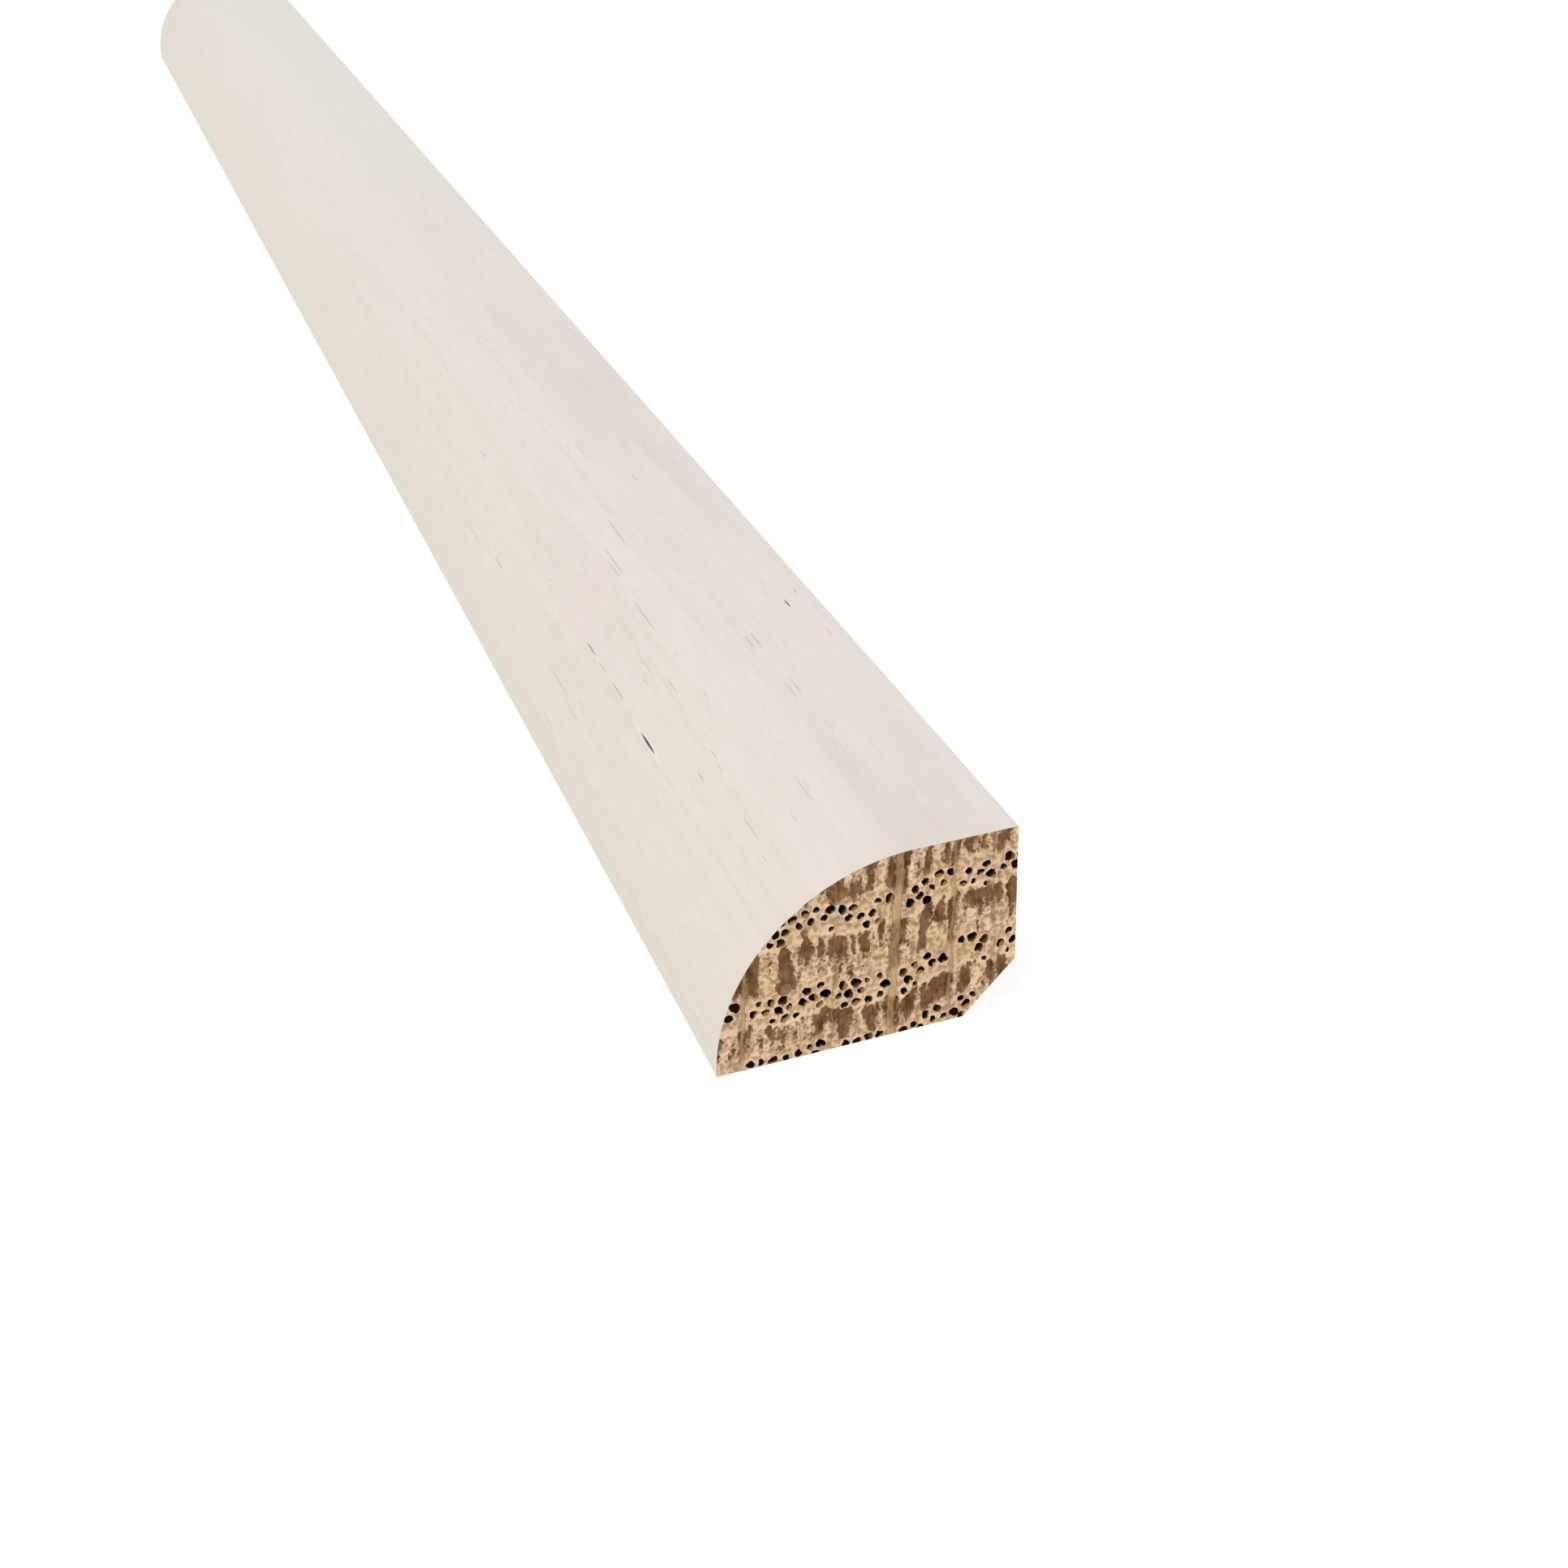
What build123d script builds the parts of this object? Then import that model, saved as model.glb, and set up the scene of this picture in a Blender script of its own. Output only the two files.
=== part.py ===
from build123d import *

import os

# Shoe moulding: one stick of solid wood, milled to a quarter-round section and cross-cut square.
# It lies on its floor face. X runs along the stick, Y from the toe to the wall and Z up.
# The origin is in the middle of the stick's length and width, on the floor. All sizes are in millimetres.

# Driving dimensions
length = 304.8  # the cut length, 12 in
width = 19.05  # from the toe to the wall face, 3/4 in
height = 12.7  # from the floor face to the top flat, 1/2 in
relief = 3.4  # each leg of the 45 degree relief where the floor face would meet the wall face

# The round is a true quarter circle that takes the whole height, so it meets the floor square at the toe
# and runs tangent into the top flat.
round_radius = height
toe_y = -width / 2
wall_y = width / 2


def milled_outline() -> Sketch:
    """The moulding's cross-section, drawn in the YZ plane from the toe round to the toe again."""
    toe = (toe_y, 0)
    round_top = (toe_y + round_radius, height)
    wall_top = (wall_y, height)
    relief_top = (wall_y, relief)
    relief_foot = (wall_y - relief, 0)
    show_face = CenterArc((toe_y + round_radius, 0), round_radius, 90, 90)
    straight_faces = Polyline(round_top, wall_top, relief_top, relief_foot, toe)
    return Plane.YZ * make_face(show_face + straight_faces)


def moulding_stick() -> Part:
    """The section run along the stick, as far to one side of the origin as to the other."""
    return extrude(milled_outline(), amount=length / 2, both=True)


os.makedirs("parts", exist_ok=True)
export_step(moulding_stick(), "parts/moulding.step")
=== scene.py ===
"""Shoe moulding: the looks of one milled and stained stick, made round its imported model.

The stick lies on its floor face. X runs along it, Y from the toe to the wall and Z up, and the
origin is in the middle on the floor. The sizes and the rules below are in millimetres.
The growth rings, rays, pores and slits are rules, written once. The trees that shape the stick and
the trees that colour it both read them, so a pore's colour lies just where its hole is cut.
"""

import logging
import math
from dataclasses import dataclass, field
from enum import Enum
from typing import Union

import bpy
import numpy as np
from mathutils import Matrix, Quaternion, Vector


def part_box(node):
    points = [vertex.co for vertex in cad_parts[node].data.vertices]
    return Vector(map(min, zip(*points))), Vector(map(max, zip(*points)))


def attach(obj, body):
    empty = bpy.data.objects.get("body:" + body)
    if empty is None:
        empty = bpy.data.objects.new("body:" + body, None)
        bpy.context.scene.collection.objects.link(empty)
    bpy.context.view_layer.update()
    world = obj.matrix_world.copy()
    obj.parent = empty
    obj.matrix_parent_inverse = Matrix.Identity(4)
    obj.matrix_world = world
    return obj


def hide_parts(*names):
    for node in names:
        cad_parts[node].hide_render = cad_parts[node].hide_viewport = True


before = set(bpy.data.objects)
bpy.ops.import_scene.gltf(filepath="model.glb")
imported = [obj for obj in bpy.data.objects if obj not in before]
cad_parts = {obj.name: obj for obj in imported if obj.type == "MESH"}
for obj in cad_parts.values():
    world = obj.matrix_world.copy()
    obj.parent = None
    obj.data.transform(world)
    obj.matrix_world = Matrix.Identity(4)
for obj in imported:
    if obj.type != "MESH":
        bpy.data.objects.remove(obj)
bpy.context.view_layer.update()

log = logging.getLogger("shoe_moulding")

MM = 0.001
NODE = "moulding"
BODY = "root"


class End(Enum):
    """One of the stick's two sawn ends, by the way that it faces along X."""

    NEAR = 1
    FAR = -1


@dataclass(frozen=True)
class Wire:
    """A value in a node tree. Python's operators on it add Math nodes."""

    bench: "Bench"
    socket: bpy.types.NodeSocket

    def __add__(self, other: "Value") -> "Wire":
        """Adds a value."""
        return self.bench.math("ADD", self, other)

    __radd__ = __add__

    def __sub__(self, other: "Value") -> "Wire":
        """Takes a value away."""
        return self.bench.math("SUBTRACT", self, other)

    def __rsub__(self, other: "Value") -> "Wire":
        """Takes this value away from another."""
        return self.bench.math("SUBTRACT", other, self)

    def __mul__(self, other: "Value") -> "Wire":
        """Multiplies by a value."""
        return self.bench.math("MULTIPLY", self, other)

    __rmul__ = __mul__

    def __truediv__(self, other: "Value") -> "Wire":
        """Divides by a value."""
        return self.bench.math("DIVIDE", self, other)

    def __abs__(self) -> "Wire":
        """The value without its sign."""
        return self.bench.math("ABSOLUTE", self)

    def cos(self) -> "Wire":
        """The cosine of the value, which is in radians."""
        return self.bench.math("COSINE", self)

    def sin(self) -> "Wire":
        """The sine of the value, which is in radians."""
        return self.bench.math("SINE", self)

    def floor(self) -> "Wire":
        """The whole number at or below the value."""
        return self.bench.math("FLOOR", self)

    def over(self, other: "Value") -> "Wire":
        """1 where the value is above another, and 0 elsewhere."""
        return self.bench.math("GREATER_THAN", self, other)

    def at_least(self, other: "Value") -> "Wire":
        """The larger of the value and another."""
        return self.bench.math("MAXIMUM", self, other)

    def at_most(self, other: "Value") -> "Wire":
        """The smaller of the value and another."""
        return self.bench.math("MINIMUM", self, other)

    def rise(self, low: float, high: float) -> "Wire":
        """A smooth step: 0 below low, 1 above high."""
        inputs = {"Value": self, "From Min": low, "From Max": high}
        return self.bench.wire("ShaderNodeMapRange", inputs, {"interpolation_type": "SMOOTHSTEP"})

    def fall(self, low: float, high: float) -> "Wire":
        """A smooth step down: 1 below low, 0 above high."""
        return 1 - self.rise(low, high)


Value = Union[Wire, float]
Colour = tuple[float, float, float, float]
Socket = bpy.types.NodeSocket
Tint = Union[Socket, Colour]
Triple = tuple[float, float, float]
Material = bpy.types.Material


@dataclass(frozen=True)
class Bench:
    """A node tree that is being written."""

    tree: bpy.types.NodeTree

    def add(self, kind: str, settings: dict | None = None, inputs: dict | None = None) -> bpy.types.Node:
        """Adds a node.

        Args:
            kind: The node's type.
            settings: Its properties, which are set first.
            inputs: Numbers, links or lists of links, by the name or the index of the socket.

        Returns:
            The new node.
        """
        node = self.tree.nodes.new(kind)
        for name, setting in (settings or {}).items():
            setattr(node, name, setting)
        for key, value in (inputs or {}).items():
            for one in value if isinstance(value, list) else [value]:
                self.feed(node.inputs[key], one)
        return node

    def make(self, kind: str, inputs: dict | None = None, settings: dict | None = None) -> Socket:
        """Adds a node as add does, and gives its first output."""
        return self.add(kind, settings, inputs).outputs[0]

    def wire(self, kind: str, inputs: dict | None = None, settings: dict | None = None) -> Wire:
        """Adds a node as make does, and gives its output as a wire."""
        return Wire(self, self.make(kind, inputs, settings))

    def feed(self, socket: Socket, value: object) -> None:
        """Sets a socket.

        Args:
            socket: The input to set.
            value: A wire or an output, which is linked, or a plain value.
        """
        if isinstance(value, Wire):
            value = value.socket
        if isinstance(value, Socket):
            self.tree.links.new(value, socket)
        else:
            socket.default_value = value

    def math(self, operation: str, *values: Value) -> Wire:
        """The result of a Math node, from what it does and its inputs in order."""
        return self.wire("ShaderNodeMath", dict(enumerate(values)), {"operation": operation})

    def apart(self, across: Wire, up: Wire) -> Wire:
        """The distance that two steps at a right angle make."""
        return self.math("SQRT", across * across + up * up)

    def vector(self, x: Value, y: Value, z: Value) -> Socket:
        """Joins three values into a vector."""
        return self.make("ShaderNodeCombineXYZ", {0: x, 1: y, 2: z})

    def split(self, vector: Socket) -> tuple[Wire, Wire, Wire]:
        """Splits a vector or a colour into three values."""
        node = self.add("ShaderNodeSeparateXYZ", None, {0: vector})
        return tuple(Wire(self, output) for output in node.outputs)

    def position(self) -> tuple[Wire, Wire, Wire]:
        """The place of each point of a shape."""
        return self.split(self.make("GeometryNodeInputPosition"))

    def index(self) -> Wire:
        """The number of each point of a shape."""
        return self.wire("GeometryNodeInputIndex")

    def noise(self, x: Value, y: Value, z: Value, detail: float = 0.0, roughness: float = 0.5) -> Wire:
        """Smooth noise.

        Args:
            x: The place in the noise, where 1 is the size of its blobs.
            y: The same, on the second axis.
            z: The same, on the third axis.
            detail: How many finer layers are added.
            roughness: How strong each finer layer is.

        Returns:
            The noise, from 0 to 1 and mostly near a half.
        """
        inputs = {"Vector": self.vector(x, y, z), "Scale": 1.0, "Detail": detail, "Roughness": roughness}
        return self.wire("ShaderNodeTexNoise", inputs)

    def chance(self, x: Value, y: Value, z: Value) -> tuple[Wire, Wire, Wire]:
        """Three random numbers from 0 to 1, always the same ones for the same place."""
        node = self.add("ShaderNodeTexWhiteNoise", None, {"Vector": self.vector(x, y, z)})
        return self.split(node.outputs["Color"])

    def mix(self, first: Tint, second: Tint, share: Value) -> Socket:
        """Mixes two colours.

        Args:
            first: The colour at a share of 0.
            second: The colour at a share of 1.
            share: How much of the second there is.

        Returns:
            The mixed colour.
        """
        inputs = {"Factor": share, "A_Color": first, "B_Color": second}
        node = self.tree.nodes.new("ShaderNodeMix")
        node.data_type = "RGBA"
        for socket in node.inputs:
            name = "Factor" if socket.identifier == "Factor_Float" else socket.identifier
            if name in inputs:
                self.feed(socket, inputs[name])
        return next(output for output in node.outputs if output.identifier == "Result_Color")

    def layers(self, ground: Tint, *coats: tuple[Tint, Value]) -> Socket:
        """Lays colours over one another.

        Args:
            ground: The lowest colour.
            coats: The colours over it in order, each with how much of it there is.

        Returns:
            The colour that shows.
        """
        for tint, share in coats:
            ground = self.mix(ground, tint, share)
        return ground

    def wear(self, shape: Socket, material: Material) -> Socket:
        """Gives a shape a material."""
        return self.make("GeometryNodeSetMaterial", {0: shape, "Material": material})

    def scatter(
        self, count: int, place: Socket, here: Wire, shape: Socket, turn: Socket, size: Socket
    ) -> Socket:
        """Sets copies of a shape at points.

        Args:
            count: How many points there are.
            place: Where each point is.
            here: Where it is 0, there is no copy.
            shape: What is copied.
            turn: The angles that each copy is turned by.
            size: What each copy is scaled by.

        Returns:
            The copies, as real geometry.
        """
        inputs = {
            "Points": self.make("GeometryNodePoints", {"Count": count, "Position": place}),
            "Selection": here,
            "Instance": shape,
            "Rotation": self.make("FunctionNodeEulerToRotation", {0: turn}),
            "Scale": size,
        }
        copies = self.make("GeometryNodeInstanceOnPoints", inputs)
        return self.make("GeometryNodeRealizeInstances", {0: copies})


@dataclass(frozen=True)
class Texture:
    """Smooth noise of one grain size, which is read over two sides of the wood."""

    scale: tuple[float, float]  # how often it changes in a millimetre, on each side
    start: Triple  # where in the noise it begins
    detail: float = 0.0
    roughness: float = 0.5
    ends_apart: Triple = (0.0, 0.0, 0.0)  # how far in the noise each end lies from the middle

    def at(self, first: Wire, second: Wire, side: Value = 0.0) -> Wire:
        """Reads the texture.

        Args:
            first: The place along the first side, in millimetres.
            second: The place along the second.
            side: Which end it is on, as a number.

        Returns:
            The noise there, from 0 to 1 and mostly near a half.
        """
        x, y, z = (side * step + start for step, start in zip(self.ends_apart, self.start))
        along, across = self.scale
        return first.bench.noise(first * along + x, second * across + y, z, self.detail, self.roughness)


def paint(red: float, green: float, blue: float) -> Colour:
    """Turns a screen colour, from 0 to 255, into the plain numbers that a shader takes."""
    parts = (part / 255 for part in (red, green, blue))
    return *(part / 12.92 if part <= 0.04045 else ((part + 0.055) / 1.055) ** 2.4 for part in parts), 1.0


def listed(parts: bpy.types.bpy_prop_collection, name: str, kind: type, each: int = 1) -> np.ndarray:
    """Lists one property of all the parts of a kind that a mesh has.

    Args:
        parts: The mesh's points, edges, corners or faces.
        name: The property.
        kind: The type of number to list.
        each: How many numbers each part has.

    Returns:
        The numbers, in one row.
    """
    numbers = np.empty(len(parts) * each, kind)
    parts.foreach_get(name, numbers)
    return numbers


@dataclass(frozen=True)
class Section:
    """The moulding's section, in the YZ plane."""

    length: float
    width: float
    height: float
    relief: float = 3.4  # each leg of the 45 degree relief where the floor face would meet the wall

    @property
    def toe(self) -> float:
        """Y of the toe, where the round meets the floor."""
        return -self.width / 2

    @property
    def wall(self) -> float:
        """Y of the wall face."""
        return self.width / 2

    @property
    def round_centre(self) -> float:
        """Y of the round's centre, which is at the floor."""
        return self.toe + self.height

    @property
    def round_girth(self) -> float:
        """The length of the round along the outline."""
        return self.height * math.pi / 2

    @property
    def show_girth(self) -> float:
        """The length of the round and the top flat along the outline."""
        return self.round_girth + self.wall - self.round_centre

    def girth(self, y: Wire, z: Wire) -> Wire:
        """How far round the show face a point is.

        Args:
            y: The point's y.
            z: The point's z.

        Returns:
            Its distance from the toe along the outline.
        """
        turn = y.bench.math("ARCTAN2", z, self.round_centre - y).at_most(math.pi / 2)
        return turn * self.height + (y - self.round_centre).at_least(0.0)

    def margin(self, y: Wire, z: Wire) -> Wire:
        """How far inside the outline a point is.

        Args:
            y: The point's y.
            z: The point's z.

        Returns:
            The distance to the nearest face, or a number below zero outside.
        """
        beside = (y - self.round_centre).at_most(0.0)
        under_round = self.height - y.bench.apart(beside, z)
        under_relief = (self.wall - self.relief + z - y) * math.sqrt(0.5)
        return under_round.at_most(z).at_most(self.wall - y).at_most(under_relief)

    def place(self, girth: Wire) -> tuple[Wire, Wire, Wire]:
        """Where a distance round the show face is.

        Args:
            girth: The distance from the toe along the outline.

        Returns:
            Its y, its z, and the angle that the face has turned by from the toe.
        """
        turn = (girth / self.height).at_most(math.pi / 2)
        y = self.round_centre - turn.cos() * self.height
        return y + (girth - self.round_girth).at_least(0.0), turn.sin() * self.height, turn


@dataclass(frozen=True)
class RingStep:
    """A place where the growth rings climb or, below zero, drop, between two y."""

    start: float
    end: float
    climb: float


@dataclass(frozen=True)
class Ray:
    """A sheet of ray tissue that stands across the rings and shows on the ends as a stripe."""

    at_floor: float
    at_top: float
    width: float
    strength: float


@dataclass(frozen=True)
class Pore:
    """One wide pore where it is cut across: its middle, half its sizes, its tilt and its filling."""

    y: Wire
    z: Wire
    half_wide: Wire
    half_tall: Wire
    tilt: Wire
    filled: Wire
    here: Wire


@dataclass(frozen=True)
class EndGrain:
    """What there is at a point of a sawn end. All but pore_edge are shares from 0 to 1."""

    flame: Wire
    lump: Wire
    fibre: Wire
    band: Wire
    ray: Wire
    ray_edge: Wire
    pore_edge: Wire
    filled: Wire
    lit: Wire


@dataclass(frozen=True)
class Wood:
    """The ring-porous wood: where its growth rings, rays and wide pores run through the stick."""

    height: float  # of the section, over which the rays lean
    steps: tuple[RingStep, ...] = (
        RingStep(-8.2, -5.6, -0.25),
        RingStep(-5.2, -2.9, 0.42),
        RingStep(-2.6, -1.8, -0.42),
        RingStep(0.2, 1.1, 0.12),
        RingStep(1.2, 2.0, -0.24),
        RingStep(1.9, 4.7, 1.05),
        RingStep(5.4, 6.2, 0.42),
        RingStep(6.6, 7.5, -0.42),
        RingStep(7.9, 9.0, 0.20),
    )
    rays: tuple[Ray, ...] = (
        Ray(-7.95, -7.2, 0.30, 0.75),
        Ray(-2.35, -1.7, 0.16, 0.45),
        Ray(1.45, 2.15, 0.56, 1.0),
        Ray(5.15, 5.70, 0.24, 0.7),
        Ray(8.2, 8.0, 0.12, 0.4),
    )
    bands: Triple = (-0.36, 3.84, 9.16)  # the height of each pore band's middle row
    rows: int = 3
    pitch_along: float = 0.75
    pitch_across: float = 0.67
    least_half_wide: float = 0.185
    more_half_wide: float = 0.13
    lowest_narrower: float = 0.04
    missing: float = 0.09  # the share of the pores that aren't there
    lowest_missing: float = 0.36  # the further share in the lowest row
    ray_clearance: float = 0.16
    steepest_tilt: float = 0.65  # radians
    push_reach: float = 0.34
    push_across: Texture = Texture((2.0, 2.0), (0.0, 0.0, 50.0), 1.0, ends_apart=(0.0, 0.0, 4.0))
    push_up: Texture = Texture((2.0, 2.0), (0.0, 0.0, 60.0), 1.0, ends_apart=(0.0, 0.0, 4.0))
    beads: Texture = Texture((3.3, 2.7), (0.0, 0.0, 9.0), 0.7, 0.4, (0.0, 0.0, 5.0))
    crumbs: Texture = Texture((6.0, 4.6), (0.0, 0.0, 41.0), 0.6, ends_apart=(0.0, 0.0, 6.0))
    coarse: Texture = Texture((1.45, 0.25), (0.0, 0.0, 4.0), 1.0, ends_apart=(11.0, 0.0, 0.0))
    ragged: Texture = Texture((2.4, 1.0), (0.0, 0.0, 2.0), 2.0, 0.6, (0.0, 0.0, 3.0))
    jagged: Texture = Texture((1.7, 0.6), (5.0, 0.0, 13.0), 1.5, ends_apart=(0.0, 0.0, 2.0))
    wobble: Texture = Texture((0.25, 0.7), (0.0, 0.0, 5.0), 1.0, ends_apart=(0.0, 0.0, 9.0))
    fibre: Texture = Texture((9.0, 0.8), (0.0, 0.0, 30.0), 2.0, 0.6, (0.0, 0.0, 3.0))

    def ring_line(self, y: Wire) -> Wire:
        """How the rings run across the section.

        Args:
            y: The point's y.

        Returns:
            How far the rings lie there above their height at the toe.
        """
        line = y * 0.0 + 0.1
        for step in self.steps:
            line = line + y.rise(step.start, step.end) * step.climb
        return line

    def band_height(self, band: Wire) -> Wire:
        """The height of a pore band's middle at the toe, from the band's number."""
        low, mid, top = self.bands
        return band.over(0.5) * (mid - low) + band.over(1.5) * (top - mid) + low

    def stagger(self, row: Wire) -> Wire:
        """How far a row of pores is shifted against the middle row, in pitches."""
        return abs(row - 1.0) * 0.5

    def warp(self, y: Wire, z: Wire, side: Value) -> tuple[Wire, Wire]:
        """How far the wood's own unevenness pushes a point in y and z, which makes the pores irregular."""
        pushes = (texture.at(y, z, side) for texture in (self.push_across, self.push_up))
        return tuple((push - 0.5) * self.push_reach for push in pushes)

    def ray_gap(self, ray: Ray, y: Wire, z: Wire) -> Wire:
        """How far outside a ray's edge a point is, or below zero inside it."""
        middle = z * ((ray.at_top - ray.at_floor) / self.height) + ray.at_floor
        return abs(y - middle) - ray.width / 2

    def pore(self, column: Wire, row: Wire, band: Wire, side: Value) -> Pore:
        """The pore of one cell of the lattice that the pores stand on.

        Args:
            column: The cell's number along the band.
            row: Its row across the band, from 0 at the bottom.
            band: The number of the band.
            side: Which end it is on, as a number.

        Returns:
            The pore.
        """
        key = row + band * 10.0 + 3.5
        shift, size, here = column.bench.chance(column + 40.5, key, side + 7.5)
        tall, tilt, filled = column.bench.chance(column + 90.5, key, side + 19.5)
        y = (column + 0.5 - self.stagger(row) + (shift - 0.5) * 0.18) * self.pitch_along
        across = (row - (self.rows - 1) / 2 + (tall - 0.5) * 0.12) * self.pitch_across
        z = self.ring_line(y) + self.band_height(band) + across
        lowest = 1 - row.at_most(1.0)
        half_wide = size * self.more_half_wide + self.least_half_wide - lowest * self.lowest_narrower
        present = here.over(lowest * self.lowest_missing + self.missing)
        for ray in self.rays:
            present = present * self.ray_gap(ray, y, z).over(self.ray_clearance)
        return Pore(
            y=y,
            z=z,
            half_wide=half_wide,
            half_tall=half_wide * (tall * 0.2 + 1.0),
            tilt=(tilt - 0.5) * (self.steepest_tilt * 2),
            filled=filled,
            here=present,
        )

    def end_grain(self, x: Wire, y: Wire, z: Wire) -> EndGrain:
        """The tissues that a saw cut across the stick shows.

        Args:
            x: The point's x, of which only the sign counts.
            y: The point's y.
            z: The point's z.

        Returns:
            What there is at the point.
        """
        side = x.bench.math("SIGN", x)
        straight_y, straight_z = y, z
        push_y, push_z = self.warp(y, z, side)
        y = y + push_y
        z = z + push_z
        above = z - self.ring_line(y)
        low, mid, top = self.bands
        band = above.over((low + mid) / 2) + above.over((mid + top) / 2)
        local = above - self.band_height(band)
        across = local / self.pitch_across + self.rows / 2
        row = across.floor()
        inside = row.over(-0.5) * (self.rows - 0.5 - row).over(0.0)
        column = (y / self.pitch_along + self.stagger(row)).floor()
        pore = self.pore(column, row, band, side)
        gap_y = y - pore.y
        gap_z = z - pore.z
        cos, sin = pore.tilt.cos(), pore.tilt.sin()
        right = (gap_y * cos + gap_z * sin) / pore.half_wide
        up = (gap_z * cos - gap_y * sin) / pore.half_tall
        no_pore = (1 - pore.here * inside) * 10.0

        beads, crumbs, coarse, ragged, jagged, fibre = (
            texture.at(y, z, side)
            for texture in (self.beads, self.crumbs, self.coarse, self.ragged, self.jagged, self.fibre)
        )
        reach = self.rows * self.pitch_across
        near_band = (abs(local - 0.05) + (jagged - 0.5) * 1.9).fall(reach * 0.36, reach * 0.74)
        under = (0 - local).rise(0.6, 2.6) - local.rise(0.6, 2.6)
        field = coarse + (ragged - 0.5) * 0.26 + under * 0.03 - near_band * 0.24
        torn = field + (beads - 0.5) * 0.26 + (crumbs - 0.5) * 0.20
        flame = torn.rise(0.39, 0.61)
        brink = torn.rise(0.33, 0.43) * (1 - flame)
        ridge = abs(local + reach / 2 + (ragged - 0.5) * 0.8).fall(0.05, 0.32) * (1 - flame)
        # lump is the relief's height; the colours also use it for painted shade in its low places and painted
        # highlight on its tops
        lump = (beads.rise(0.33, 0.62) * 0.55 + brink * 0.25 + ridge * 0.6 + 0.3).at_most(1.0)

        ray = ray_edge = abs(y) * 0.0
        wobble = (self.wobble.at(y, z, side) - 0.5) * 0.5
        for one in self.rays:
            gap = self.ray_gap(one, straight_y + wobble, straight_z) + (beads - 0.5) * 0.12
            ray = ray.at_least(gap.fall(-0.05, 0.05) * one.strength)
            ray_edge = ray_edge.at_least(abs(gap - 0.05).fall(0.03, 0.13) * one.strength)
        return EndGrain(
            flame=flame * (1 - ray),
            lump=lump * (1 - flame) * (1 - ray),
            fibre=fibre,
            band=near_band,
            ray=ray,
            ray_edge=ray_edge,
            pore_edge=x.bench.apart(right, up) + no_pore,
            filled=pore.filled,
            # the side of a pore that light from the upper left is taken to fall on, for painted highlights
            lit=right * 0.6 - up * 0.75,
        )


@dataclass(frozen=True)
class Slit:
    """One pore that the cutter laid open along the grain, as a slit in the show face."""

    from_end: float  # from the near end to its middle
    girth: float  # from the toe round the outline
    length: float
    width: float
    dark: float


@dataclass(frozen=True)
class ShowSlits:
    """The slits of the show face: a few marked ones near the near end, and scattered faint ones."""

    cell_along: float = 6.0
    cell_round: float = 0.46
    stagger: float = 0.37
    depth: float = 0.14
    crowds: Texture = Texture((0.45, 0.21), (0.0, 0.0, 6.0), 1.0)  # per cell
    marked: tuple[Slit, ...] = (
        Slit(24.3, 9.95, 3.4, 0.17, 1.0),
        Slit(31.9, 10.15, 3.4, 0.13, 0.28),
        Slit(35.6, 10.15, 2.4, 0.11, 0.18),
        Slit(38.7, 10.2, 2.6, 0.14, 0.4),
        Slit(33.2, 24.1, 1.6, 0.17, 0.6),
        Slit(28.6, 20.2, 3.0, 0.12, 0.26),
        Slit(28.4, 19.7, 2.6, 0.12, 0.22),
        Slit(21.3, 20.4, 3.2, 0.12, 0.22),
        Slit(20.9, 19.9, 2.8, 0.11, 0.18),
        Slit(36.0, 6.15, 7.0, 0.11, 0.16),
        Slit(40.5, 6.55, 8.0, 0.11, 0.18),
        Slit(47.0, 15.2, 6.0, 0.12, 0.2),
        Slit(37.4, 14.7, 6.2, 0.12, 0.2),
        Slit(45.6, 14.85, 4.0, 0.11, 0.18),
        Slit(50.6, 16.7, 6.4, 0.12, 0.22),
        Slit(16.8, 11.7, 1.6, 0.16, 0.2),
        Slit(17.9, 13.2, 1.5, 0.13, 0.16),
        Slit(60.4, 7.4, 3.2, 0.13, 0.26),
        Slit(68.6, 6.8, 6.6, 0.11, 0.16),
        Slit(9.0, 12.5, 3.6, 0.11, 0.14),
        Slit(11.4, 2.1, 4.4, 0.11, 0.16),
        Slit(17.6, 2.1, 4.0, 0.11, 0.18),
        Slit(39.5, 3.5, 4.4, 0.11, 0.16),
        Slit(76.4, 11.45, 3.0, 0.12, 0.2),
        Slit(27.4, 13.5, 2.8, 0.11, 0.16),
        Slit(32.0, 12.8, 5.6, 0.1, 0.12),
        Slit(59.8, 20.75, 2.2, 0.12, 0.2),
        Slit(67.4, 18.4, 4.6, 0.11, 0.14),
        Slit(9.6, 16.5, 4.4, 0.1, 0.12),
        Slit(27.9, 25.2, 1.4, 0.12, 0.22),
        Slit(34.8, 25.3, 1.2, 0.12, 0.24),
        Slit(92.4, 7.5, 2.6, 0.11, 0.14),
        Slit(91.0, 4.1, 1.4, 0.12, 0.2),
    )

    def scattered(self, column: Wire, row: Wire) -> tuple[Wire, Wire, Wire, Wire, Wire]:
        """The slit of one cell of the lattice that the faint slits lie on.

        Args:
            column: The cell's number along the stick, from the far end.
            row: Its number round the outline, from the toe.

        Returns:
            The slit's distance from the far end, its girth, half its length, half its width, and
            how dark it is, which is 0 where there is none.
        """
        shift, size, here = row.bench.chance(column + 70.5, row + 0.5, 3.5)
        wide, strength, _ = row.bench.chance(column + 20.5, row + 0.5, 11.5)
        crowd = self.crowds.at(column, row)
        half_length = (size * 0.5 + 0.1) * (self.cell_along / 2 - 0.9)
        along = (column + 0.5 - row * self.stagger + (shift - 0.5) * 0.2) * self.cell_along
        round_ = (row + 0.5 + (wide - 0.5) * 0.4) * self.cell_round
        present = here.over(1.34 - crowd * 0.86)
        return along, round_, half_length, wide * 0.02 + 0.055, (strength * 0.8 + 0.2) * present


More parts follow.
